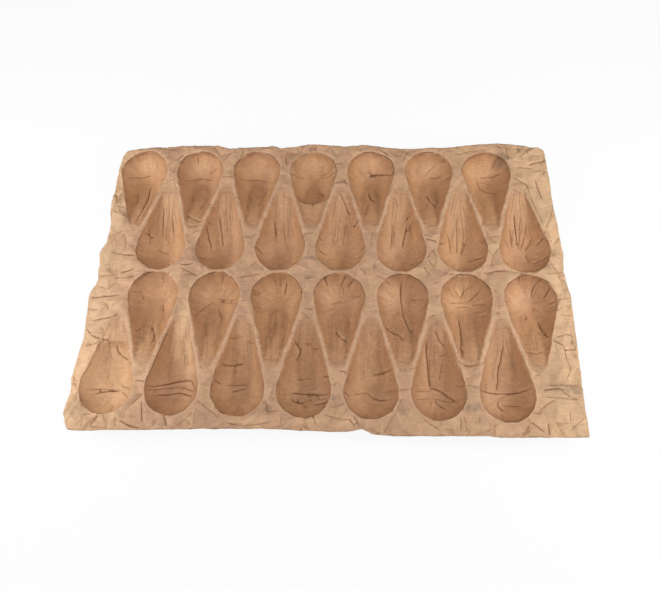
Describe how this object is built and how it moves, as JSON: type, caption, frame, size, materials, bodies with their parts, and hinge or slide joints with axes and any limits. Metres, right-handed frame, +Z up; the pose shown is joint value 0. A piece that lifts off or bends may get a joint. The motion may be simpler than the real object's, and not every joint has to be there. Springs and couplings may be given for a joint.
{
  "type": "paper fruit tray",
  "caption": "Pressed brown kraft paper tray with interlocking rows of pear-shaped pockets, laid in a crate to keep fruit apart.",
  "frame": {"origin": "under the middle of the sheet, on the level that the pocket floors rest on", "axes": "+X along the rows of pockets, +Y from the front edge to the back edge, +Z up out of the pockets"},
  "size_m": [0.576, 0.3838, 0.0266],
  "materials": {
    "kraft_paper": "matt, creased"
  },
  "bodies": {
    "root": {"tray": "kraft_paper"}
  },
  "joints": []
}
